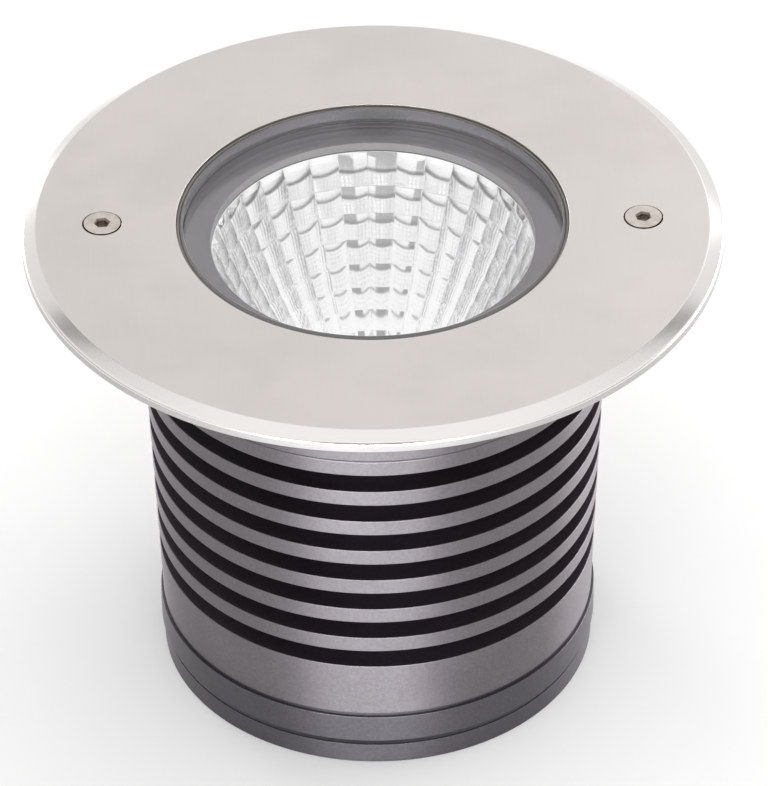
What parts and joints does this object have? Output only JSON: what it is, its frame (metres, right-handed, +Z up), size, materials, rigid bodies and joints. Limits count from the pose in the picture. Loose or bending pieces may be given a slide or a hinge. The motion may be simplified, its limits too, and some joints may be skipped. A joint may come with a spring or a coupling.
{
  "type": "in-ground well light",
  "caption": "Round in-ground uplight: bevelled steel face plate over a flush glass lens and faceted reflector, on a tapered ring-finned body with a sealed base cap.",
  "frame": {"origin": "centre of the underside of the base cap, on the light's axis", "axes": "+Z up along the light's axis, out of the glass; +X through one of the two face plate screws"},
  "size_m": [0.15, 0.15, 0.1123],
  "materials": {
    "plate_steel": "fine satin stainless steel",
    "screw_steel": "plain stainless steel",
    "lens_glass": "clear toughened glass",
    "seal_rubber": "matt silicone rubber",
    "body_aluminium": "bead-blasted grey anodised",
    "cap_aluminium": "bead-blasted dark grey anodised",
    "trim_grey": "matt dark grey",
    "reflector_metal": "vacuum metallised, bright",
    "board_ceramic": "white ceramic",
    "phosphor_yellow": "silicone with yellow phosphor",
    "pad_grey": "soft thermal pad",
    "holder_white": "white moulded",
    "lead_insulation": "silicone insulation",
    "driver_black": "black moulded",
    "gland_nickel": "nickel-plated brass"
  },
  "bodies": {
    "root": {"face_plate": "plate_steel", "face_plate_screws": "screw_steel", "glass_lens": "lens_glass", "upper_lens_gasket": "seal_rubber", "lower_lens_gasket": "seal_rubber", "collar": "body_aluminium", "collar_seal_ring": "seal_rubber", "trim_ring": "trim_grey", "reflector": "reflector_metal", "led_holder": "holder_white", "holder_screws": "screw_steel", "led_board": "board_ceramic", "led_phosphor": "phosphor_yellow", "thermal_pad": "pad_grey", "led_leads": "lead_insulation", "finned_housing": "body_aluminium", "driver_case": "driver_black", "driver_lid": "driver_black", "driver_screws": "screw_steel", "terminal_block": "holder_white", "base_cap": "cap_aluminium", "base_seal_ring": "seal_rubber", "base_screws": "screw_steel", "gland_body": "gland_nickel", "gland_washer": "seal_rubber", "gland_seal": "seal_rubber", "gland_nut": "gland_nickel", "gland_locknut": "gland_nickel"}
  },
  "joints": []
}
